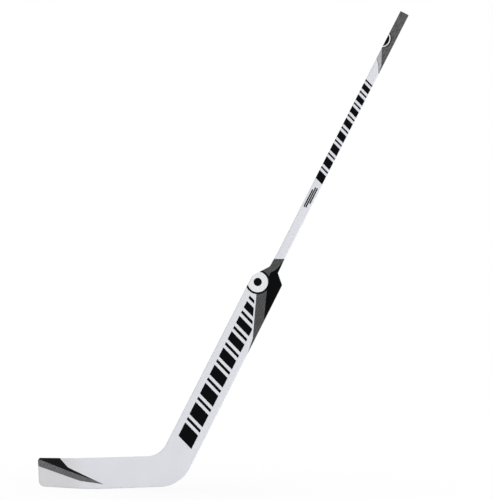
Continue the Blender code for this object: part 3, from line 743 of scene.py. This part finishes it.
def make_film(surface, name, polygons, passes=None, trim=None):
    """A film within polygons, of faces that pass a test, less what lies past a trim (point, normal)."""
    piece = copy_of(surface, name)
    open_up(piece)
    if passes:
        drop_faces(lambda face: not passes(face))
    for point, normal in polygon_lines(polygons):
        score(spot(point), spot(normal))
    drop_faces(lambda face: not any(inside(middle_of(face), polygon) for polygon in polygons))
    drop_slivers()
    if trim:
        score(*trim, drops=True)
    close_up()
    apply_modifier(piece, "SOLIDIFY", thickness=FILM, offset=0.0)
    return piece


print("films are", 1000 * FILM, "mm thick")


# %% [markdown]
# Every piece is finished in the same way. Smooth shading alone would smear the light round the corners, so
# it stops at sharp ones, and weighted normals keep the flats flat. Then the piece gets its material, rides
# on the stick's one body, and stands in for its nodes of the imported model. A finished piece has no open
# edge, so these are counted.

# %% Finish a piece
SMOOTH_ANGLE = math.radians(30.0)


def shade(piece):
    """Smooth shading that keeps flat faces flat, by letting the largest faces set the normals."""
    pick_up(piece)
    bpy.ops.object.shade_smooth_by_angle(angle=SMOOTH_ANGLE)
    apply_modifier(piece, "WEIGHTED_NORMAL", keep_sharp=True)


def deliver(piece, material, slot, *nodes):
    """Finishes a piece: its material, the body it rides on, and the nodes that it stands for."""
    shade(piece)
    piece.data.materials.clear()
    piece.data.materials.append(material)
    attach(piece, "root")
    if nodes:
        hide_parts(*nodes)
    shape = bmesh.new()
    shape.from_mesh(piece.data)
    gaps = sum(not edge.is_manifold for edge in shape.edges)
    faces = len(shape.faces)
    shape.free()
    print(f"{piece.name}: {faces} faces, {gaps} open edges")


# %% [markdown]
# ## The painted body
# The paddle and the blade are two shells that meet flush, so that no seam shows through the paint. One
# shell would look the same, but two can be taken off the core one at a time. Each is the pressed surface,
# cut at the seam and given a wall inwards. The shaft is a tube with a thicker wall.

# %% Paddle, blade and shaft
for name, side in (("paddle", 1.0), ("blade", -1.0)):
    shell = copy_of(blank, name + "_shell")
    open_up(shell)
    score(spot(place(0.0, SEAM_ALONG)), -side * AXIS, drops=True)
    close_up()
    apply_modifier(shell, "SOLIDIFY", thickness=SKIN_WALL, offset=-1.0, use_even_offset=True)
    deliver(shell, white_lacquer, "white_lacquer", name + "_skin_front", name + "_skin_back")

tube = copy_of(sleeve, "shaft")
apply_modifier(tube, "SOLIDIFY", thickness=SHAFT_WALL, offset=-1.0, use_even_offset=True)
deliver(tube, white_lacquer, "white_lacquer", "shaft_tube")

# %% [markdown]
# ## The butt cap
# The tube's end is closed by a moulded cap of the same section. It starts as a short bar like the shaft's,
# so the two match, and insets make the rest: a stem that fills the tube below, and above a shallow recess,
# as moulded caps have. The brim gets a small round, because a sharp one would look cut, not moulded.

# %% Butt cap
BRIM_ROUND = 0.0008
BRIM_STEPS = 3
CAP_STEM = 0.028
CAP_RECESS = 0.0004
CAP_BORDER = 0.0030
FIT = 0.0003

cap_top = spot(place(0.0, STICK_LENGTH)).dot(AXIS)


def is_brim(edge):
    """Whether an edge lies between the cap's upper end and its side wall."""
    at_top = all(abs(vertex.co.dot(AXIS) - cap_top) < SAME_POINT for vertex in edge.verts)
    ways = [abs(face.normal.dot(AXIS)) for face in edge.link_faces]
    return at_top and max(ways) > FACING and min(ways) < 1.0 - FACING


cap = shaft_stock("butt_cap", SHAFT_TOP, STICK_LENGTH)
open_up(cap)
choose("FACE", lambda face: face.normal.dot(AXIS) < -FACING)
bpy.ops.mesh.inset(thickness=SHAFT_WALL + FIT, depth=0.0)
draw_out(-CAP_STEM * AXIS)
choose("FACE", lambda face: face.normal.dot(AXIS) > FACING)
bpy.ops.mesh.inset(thickness=CAP_BORDER, depth=0.0)
bpy.ops.mesh.inset(thickness=CAP_RECESS, depth=-CAP_RECESS)
choose("EDGE", is_brim)
round_edges(BRIM_ROUND, BRIM_STEPS)
close_up()
deliver(cap, grey_abs, "black_plastic", "butt_plug")

# %% [markdown]
# ## Slanted bars
# Both bands of print are rows of slanted bars, a broad one and a thin one in turn, with the broad ones
# getting shorter towards the top. The slant gives the stick its speed and the black its weight. A bar is a
# parallelogram, so a band is a list of polygons, and one function lays out both bands.

# %% Lay out a band of bars
BAR_SLANT = math.tan(math.radians(19.0))


def bar(lead, trail, foot, head):
    """The polygon of one bar with slanted ends."""
    sides = ((lead, foot), (trail, foot), (trail, head), (lead, head))
    return [place(across, along - BAR_SLANT * across) for across, along in sides]


def bar_band(lead, trail, foot, head, pairs, gap, thin, fade):
    """The polygons of a band of bars between two lines along the axis."""
    broad = (head - foot - gap * (2 * pairs - 1) - thin * pairs) * (1 - fade) / (1 - fade**pairs)
    polygons = []
    low = foot
    for i in range(pairs):
        for length in (broad * fade**i, thin):
            polygons.append(bar(lead, trail, low, low + length))
            low += length + gap
    return polygons


print("the bars' ends slant by", round(math.degrees(math.atan(BAR_SLANT)), 1), "degrees")

# %% [markdown]
# On the paddle the bars lie on the two flat faces, with a white margin to each edge. The grey shoulder film
# would cover the topmost ones in part, so one score across the whole band trims them 4 mm clear of it.

# %% Paddle bars
BARS_LEAD = -0.0275
BARS_TRAIL = 0.022
BARS_FOOT = 0.144
BARS_HEAD = 0.584
GREY_HOLLOW = place(0.0345, 0.490)
GREY_BEND = place(-0.0114, 0.602)
FILM_MARGIN = 0.004

paddle_band = bar_band(
    BARS_LEAD, BARS_TRAIL, BARS_FOOT, BARS_HEAD, pairs=8, gap=0.009, thin=0.008, fade=0.90
)
run = (GREY_BEND - GREY_HOLLOW).normalized()
clear = Vector((-run.y, run.x))
trim = (spot(GREY_HOLLOW + FILM_MARGIN * clear), spot(-clear))
for name, way in (("front", -1.0), ("back", 1.0)):
    bars = make_film(
        blank, "paddle_bars_" + name, paddle_band, lambda face: face.normal.y * way > FACING, trim
    )
    deliver(bars, black_ink, "black_film", "paddle_bars_film_" + name)

# %% [markdown]
# On the shaft the bars are as wide as the shaft and wrap its leading side, so they are cut from the whole
# sleeve and end on the rounding of the trailing side. Cut from the front alone, they would end in a hard
# line at the leading edge.

# %% Shaft bars
SHAFT_BARS_FOOT = 0.966
SHAFT_BARS_HEAD = 1.276
SHAFT_BARS_TRAIL = SHAFT_WIDTH / 2 - 0.001

shaft_band = bar_band(
    -SHAFT_WIDTH,
    SHAFT_BARS_TRAIL,
    SHAFT_BARS_FOOT,
    SHAFT_BARS_HEAD,
    pairs=8,
    gap=0.0075,
    thin=0.005,
    fade=0.93,
)
bars = make_film(sleeve, "shaft_bars", shaft_band)
deliver(bars, black_ink, "black_film", "shaft_bars_film")

# %% [markdown]
# ## The shoulder
# A two-tone film wraps the shoulder and the neck. Its top edge is level with the ice when the stick is
# held, its lower edge runs down to a tip on the trailing side, and a bent line parts its grey from its
# black. Both tones are written with that one line, so they meet without a gap. Where a film wraps an edge,
# its polygon runs on past it, and how far doesn't matter.

# %% Shoulder polygons
NECK_LEVEL = 0.6436
GREY_TIP = place(0.0425, 0.434)
GREY_TOP = place(-0.034, 0.670)
RUN_ON = 0.05
SHOULDER_FOOT = 0.40

parting = [
    place(0.0129, 0.7175),
    place(0.0050, 0.691),
    place(-0.0044, 0.678),
    place(-0.0038, 0.660),
    place(0.010, 0.625),
    place(0.0174, 0.605),
    place(0.0355, 0.559),
    place(0.0425, 0.546),
]


def run_on(start, end):
    """A point past the end of a line, off the stick."""
    return end + (end - start).normalized() * RUN_ON


outwards = Vector((0.2, 0.0))
level = Vector((parting[0].x, NECK_LEVEL))
black_shoulder = [*parting, parting[-1] + outwards, parting[0] + outwards]
grey_shoulder = [
    GREY_TIP,
    parting[-1] + outwards,
    *reversed(parting),
    parting[0] + outwards,
    level + outwards,
    level - outwards,
    run_on(GREY_BEND, GREY_TOP),
    GREY_BEND,
    GREY_HOLLOW,
]


def in_shoulder(face):
    """Only the top of the paddle takes part, so the rest isn't scored for nothing."""
    return across_along(*middle_of(face))[1] > SHOULDER_FOOT


print("shoulder:", len(grey_shoulder), "and", len(black_shoulder), "corners")

# %% [markdown]
# ### Round prints
# A circle can't be cut by straight scores, so round prints take a Boolean with a cylinder. The cylinder
# reaches only 2.5 mm into the stick from the front, so a print ends on the rounding of the edge, as a decal
# does. A ring's hole is cut a little deeper than its outside, because a Boolean whose cutter ends in one
# plane with a face of the piece can leave that face doubled.

# %% Round cutters
ROUND_SIDES = 160
CUTTER_LENGTH = 0.05
DECAL_DEPTH = THICKNESS / 2 - 0.0025
HOLE_DEPTH = DECAL_DEPTH - 0.0005


def trim_round(piece, centre, radius, operation, depth=DECAL_DEPTH):
    """Keeps what lies inside a circle of the front face (INTERSECT), or removes it (DIFFERENCE)."""
    bpy.ops.object.select_all(action="DESELECT")
    bpy.ops.mesh.primitive_cylinder_add(
        vertices=ROUND_SIDES,
        radius=radius,
        depth=CUTTER_LENGTH,
        location=spot(centre, -depth - CUTTER_LENGTH / 2),
        rotation=(math.pi / 2, 0.0, 0.0),
    )
    cutter = settle("round_cutter")
    apply_modifier(piece, "BOOLEAN", operation=operation, object=cutter, solver="EXACT")
    bpy.data.objects.remove(cutter)
    open_up(piece)
    drop_slivers()
    close_up()


def print_rings(surface, centre, reach, rings, passes=None):
    """Round prints about one centre. Each ring is (name, outer radius, inner radius, ink, slot, nodes)."""
    corners = ((-reach, -reach), (reach, -reach), (reach, reach), (-reach, reach))
    area = [centre + Vector(corner) for corner in corners]
    for name, outer, inner, ink, slot, nodes in rings:
        film = make_film(surface, name, [area], passes)
        trim_round(film, centre, outer, "INTERSECT")
        if inner > 0.0:
            trim_round(film, centre, inner, "DIFFERENCE", HOLE_DEPTH)
        deliver(film, ink, slot, *nodes)


print("round prints end", round(1000 * (THICKNESS / 2 - DECAL_DEPTH), 1), "mm below the front")

# %% [markdown]
# A round decal lies on the shoulder: a white disc in a black ring, with a black dot like a puck in the
# middle. Laid on top of each other, four prints would stand too proud, so each print but the dot has a hole
# that the next one fills.

# %% Shoulder films and roundel
ROUNDEL = place(-0.0249, 0.6373)
ROUNDEL_RING = 0.0343
ROUNDEL_DISC = 0.0287
ROUNDEL_PUCK = 0.0115

for name, polygon, ink, slot in (
    ("grey", grey_shoulder, neck_ink, "graphite_film"),
    ("black", black_shoulder, black_ink, "black_film"),
):
    film = make_film(blank, "shoulder_" + name, [polygon], in_shoulder)
    trim_round(film, ROUNDEL, ROUNDEL_RING, "DIFFERENCE")
    deliver(film, ink, slot, "shoulder_film_" + name)

roundel = (
    ("roundel_ring", ROUNDEL_RING, ROUNDEL_DISC, black_ink, "black_film", ["roundel_ring_film"]),
    ("roundel_disc", ROUNDEL_DISC, ROUNDEL_PUCK, white_ink, "white_lacquer", ["roundel_disc_film"]),
    ("roundel_puck", ROUNDEL_PUCK, 0.0, black_ink, "black_film", []),
)
print_rings(blank, ROUNDEL, 2 * ROUNDEL_RING, roundel, in_shoulder)

# %% [markdown]
# ## The toe
# The blade's toe has the same two tones in a long wedge that wraps the toe and thins out to a point near
# the sole. The black part of it tapers away sooner, along the wedge's upper edge, and leaves the last fifth
# of that edge to the grey. The polygons run well past the toe, so the film goes all the way round it, which
# a print laid on the front alone would not.

# %% Toe films
PAST_TOE = -0.160
ABOVE_TOE = 0.120  # the film's polygons reach this far past the toe and this high above the blade
TOE_FILMS_END = 0.05
TOE_TIP = Vector((0.0325, 0.0130))
TOE_BEND = Vector((-0.0669, 0.0598))
BLACK_SHARE = 0.80

toe_parting = [
    Vector((PAST_TOE, 0.0862)),
    Vector((-0.066, 0.0499)),
    TOE_BEND.lerp(TOE_TIP, BLACK_SHARE),
]
toe_black = [
    Vector((PAST_TOE, ABOVE_TOE)),
    *toe_parting,
    TOE_BEND,
    Vector((-0.0900, 0.0855)),
    Vector((-0.0962, ABOVE_TOE)),
]
toe_grey = [TOE_TIP, *reversed(toe_parting), Vector((PAST_TOE, 0.0660)), Vector((-0.0336, 0.0225))]


def in_blade(face):
    """Only the blade's toe half takes part."""
    return middle_of(face).x < TOE_FILMS_END


# the toe's black film takes the lighter ink, a painted reflection
deliver(make_film(blank, "toe_black", [toe_black], in_blade), lighter_black_and_painted_reflection_ink, "black_film", "toe_film_black")
deliver(make_film(blank, "toe_grey", [toe_grey], in_blade), toe_grey_ink, "graphite_film", "toe_film_grey")

# %% [markdown]
# ## The butt end
# The grip's sleeve is the grey woven film. Its lower edge falls to a point on the trailing side, and a
# light grey wedge with a darker line follows it on the front. A plain white ring, black inside and outlined
# in black, sits on the front's leading edge, which cuts off more than half of it. All are cut from the
# sleeve, and the ring's circle is trimmed off the others, so that no two prints lie in one place.

# %% Butt films
BUTT_RING = place(-0.0260, 1.4016)
RING_EDGE = 0.0280
RING_OUTSIDE = 0.0252
RING_INSIDE = 0.0224
BUTT_LEAD = place(-SHAFT_WIDTH / 2, 1.378)
BUTT_BEND = place(0.0080, 1.3340)
BUTT_TIP = place(SHAFT_WIDTH / 2, 1.308)
ABOVE_BUTT = 1.6
WEDGE_EDGE = [
    place(-0.0150, 1.344),
    place(-0.0109, 1.3438),
    place(0.0031, 1.3263),
    place(0.0105, 1.3110),
]
LINE_WIDTH = Vector((0.0022, 0.0))

beyond_top = [place(RUN_ON, ABOVE_BUTT), place(-RUN_ON, ABOVE_BUTT)]
butt_grip = [run_on(BUTT_BEND, BUTT_LEAD), BUTT_BEND, run_on(BUTT_BEND, BUTT_TIP), *beyond_top]
wedge_start = [point + LINE_WIDTH for point in WEDGE_EDGE]
butt_wedge = [BUTT_LEAD, *wedge_start, BUTT_BEND]
butt_line = [BUTT_LEAD, *WEDGE_EDGE, *reversed(wedge_start)]


def on_front(face):
    """Only the front takes part, as deep as a decal goes."""
    return face.calc_center_median().y < -DECAL_DEPTH


for name, polygon, ink, passes, nodes in (
    ("butt_grip", butt_grip, graphite_ink, None, ["butt_film"]),
    ("butt_wedge", butt_wedge, silver_ink, on_front, []),
):
    film = make_film(sleeve, name, [polygon], passes)
    trim_round(film, BUTT_RING, RING_EDGE, "DIFFERENCE")
    deliver(film, ink, "graphite_film", *nodes)
deliver(make_film(sleeve, "butt_line", [butt_line], on_front), line_ink, "graphite_film")

butt_rings = (
    ("butt_ring_edge", RING_EDGE, RING_OUTSIDE, black_ink, "black_film", []),
    ("butt_ring", RING_OUTSIDE, RING_INSIDE, white_ink, "white_lacquer", []),
    ("butt_ring_middle", RING_INSIDE, 0.0, black_ink, "black_film", []),
)
print_rings(sleeve, BUTT_RING, 2 * RING_EDGE, butt_rings)

# %% [markdown]
# ## Pinstripes on the shaft
# Below the bars the shaft carries three short pinstripes with slanted ends, the middle one the longest. A
# stripe is a narrow bar, so the bars' own function draws it. With them the last piece is cut, and the two
# surfaces go.

# %% Pinstripes
STRIPE_WIDTH = 0.0038
STRIPES = ((-0.0052, 0.882, 0.936), (0.0, 0.884, 0.946), (0.0052, 0.900, 0.948))

stripes = []
for middle, foot, head in STRIPES:
    stripes.append(bar(middle - STRIPE_WIDTH / 2, middle + STRIPE_WIDTH / 2, foot, head))
film = make_film(sleeve, "shaft_pinstripes", stripes, on_front)
deliver(film, lighter_black_and_painted_reflection_ink, "graphite_film")

bpy.data.objects.remove(blank)
bpy.data.objects.remove(sleeve)

# %% [markdown]
# ## The core
# Inside are a spine, blocks, rails and panels that only show when the shells come off. Their solids in the
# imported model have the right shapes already, so they aren't made again, and only get their finishes of
# aspen, foam and black plastic.

# %% Dress the core
core = {
    paddle_wood: [
        "paddle_spine",
        "shoulder_block_leading",
        "shoulder_block_trailing",
        "paddle_rail_leading",
        "paddle_rail_trailing",
        "heel_block",
    ],
    blade_wood: ["blade_rib"],
    core_foam: ["paddle_foam_leading", "paddle_foam_trailing", "blade_foam_upper", "blade_foam_lower"],
    black_abs: ["blade_rail_top", "blade_rail_sole", "toe_insert"],
}
for material, names in core.items():
    for name in names:
        for material_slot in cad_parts[name].material_slots:
            material_slot.material = material
print("dressed", sum(len(names) for names in core.values()), "nodes of the core")

# %% [markdown]
# ## Floor and light
# The photograph's ground is pure white. More lamps would turn the floor white too, but would bleach the
# stick. So the floor and the world show white to the camera, to reflections and through glass, while the
# light on the stick stays at a plain level. Near the stick the floor is partly a real matt surface, so the
# stick's shadow still shows on it.

# %% Floor
FLOOR_SIZE = 60.0
FLOOR_MIDDLE = (0.35, 0.0, 0.0)
SHADOW_MIDDLE = 0.2
SHADOW_REACH = 1.3
SHADOW_SHARE = 0.15

bpy.ops.object.select_all(action="DESELECT")
bpy.ops.mesh.primitive_plane_add(size=FLOOR_SIZE, location=FLOOR_MIDDLE)
floor = settle("floor")
floor_paint, tree, shader, where = new_material("white_floor", Roughness=0.9)
feed(tree, shader, {"Base Color": linear("#f4f4f4")})
middle = (-SHADOW_MIDDLE / SHADOW_REACH, 0.0, 0.0)
centred = add(tree, "Mapping", {"Vector": where, "Location": middle, "Scale": [1 / SHADOW_REACH] * 3})
nearness = add(tree, "TexGradient", {"Vector": centred.outputs[0]}, gradient_type="QUADRATIC_SPHERE")
matt_share = add(tree, "Math", {0: nearness.outputs["Fac"], 1: SHADOW_SHARE}, operation="MULTIPLY")
glow_share = add(tree, "Math", {0: 1.0, 1: matt_share.outputs[0]}, operation="SUBTRACT")


def seen_share(tree):
    """1 for rays from the camera, from a reflection or through glass, and 0 for rays that carry light."""
    rays = add(tree, "LightPath", {}).outputs
    seen = rays["Is Camera Ray"]
    for kind in ("Is Glossy Ray", "Is Transmission Ray"):
        seen = add(tree, "Math", {0: seen, 1: rays[kind]}, operation="MAXIMUM").outputs[0]
    return seen


share = add(tree, "Math", {0: glow_share.outputs[0], 1: seen_share(tree)}, operation="MULTIPLY")
glow = add(tree, "Emission", {"Color": (1.0, 1.0, 1.0, 1.0), "Strength": 1.0})
mixed = add(tree, "MixShader", {0: share.outputs[0], 1: shader.outputs[0], 2: glow.outputs[0]})
feed(tree, tree.nodes["Material Output"], {"Surface": mixed.outputs[0]})
floor.data.materials.append(floor_paint)
print("floor", FLOOR_SIZE, "m wide, shadows fade out", SHADOW_REACH, "m from the heel")

# %% [markdown]
# Such pictures are taken in a tent of white cloth that is lit from outside. The world is that tent. Area
# lamps could stand in for its walls, but each would show as a square in the gloss. Its walls beside, above
# and behind the stick are bright, so the rounded edges stay as light as the flats, and its open front is
# dark.

# %% World
TENT_BASE = 0.10  # all round
TENT_RING = 0.62  # beside, above and below
TENT_BACK = 0.84  # behind
TENT_LEFT = 0.3  # how much brighter it gets to the left
TENT_UP = 0.05  # how much brighter it gets upwards

world = bpy.data.worlds.new("studio")
world.use_nodes = True
bpy.context.scene.world = world
tree = world.node_tree
ground = tree.nodes["Background"]
feed(tree, ground, {"Color": (1.0, 1.0, 1.0, 1.0)})
way = add(tree, "SeparateXYZ", {0: add(tree, "TexCoord", {}).outputs["Generated"]}).outputs
squared = add(tree, "Math", {0: way["Y"], 1: way["Y"]}, operation="MULTIPLY").outputs[0]
sideness = add(tree, "Math", {0: 1.0, 1: squared}, operation="SUBTRACT").outputs[0]
behind = add(tree, "Math", {0: way["Y"], 1: 0.0}, operation="MAXIMUM").outputs[0]
folded = add(tree, "CombineXYZ", {"X": way["X"], "Y": behind, "Z": way["Z"]}).outputs[0]
tilt = (-TENT_LEFT, TENT_BACK, TENT_UP)
slope = add(tree, "VectorMath", {0: folded, 1: tilt}, operation="DOT_PRODUCT")
ring = add(tree, "Math", {0: sideness, 1: TENT_RING, 2: TENT_BASE}, operation="MULTIPLY_ADD").outputs[0]
tent = add(tree, "Math", {0: ring, 1: slope.outputs["Value"]}, operation="ADD").outputs[0]
level = add(tree, "MapRange", {"Value": seen_share(tree), "To Min": tent, "To Max": 1.0})
feed(tree, ground, {"Strength": level.outputs[0]})
print("tent from", TENT_BASE, "in front to", round(TENT_BASE + TENT_BACK, 2), "behind")

# %% [markdown]
# One soft lamp stands in front. It is a far one, a sun with a soft edge, because a near one would light the
# butt more than the blade. It stands to the right, so the blade's bowed toe is a little darker, as in the
# photograph.

# %% Key light
KEY_RIGHT = math.radians(38.0)
KEY_UP = math.radians(8.0)
KEY_SOFTNESS = math.radians(14.0)
KEY_STRENGTH = 1.55

bpy.ops.object.light_add(type="SUN", rotation=(math.pi / 2 - KEY_UP, 0.0, KEY_RIGHT))
key = bpy.context.object
key.name = "key"
key.data.angle = KEY_SOFTNESS
key.data.energy = KEY_STRENGTH
print("key light from", round(math.degrees(KEY_RIGHT)), "degrees to the right, strength", KEY_STRENGTH)

bpy.context.scene.view_settings.view_transform = "Standard"
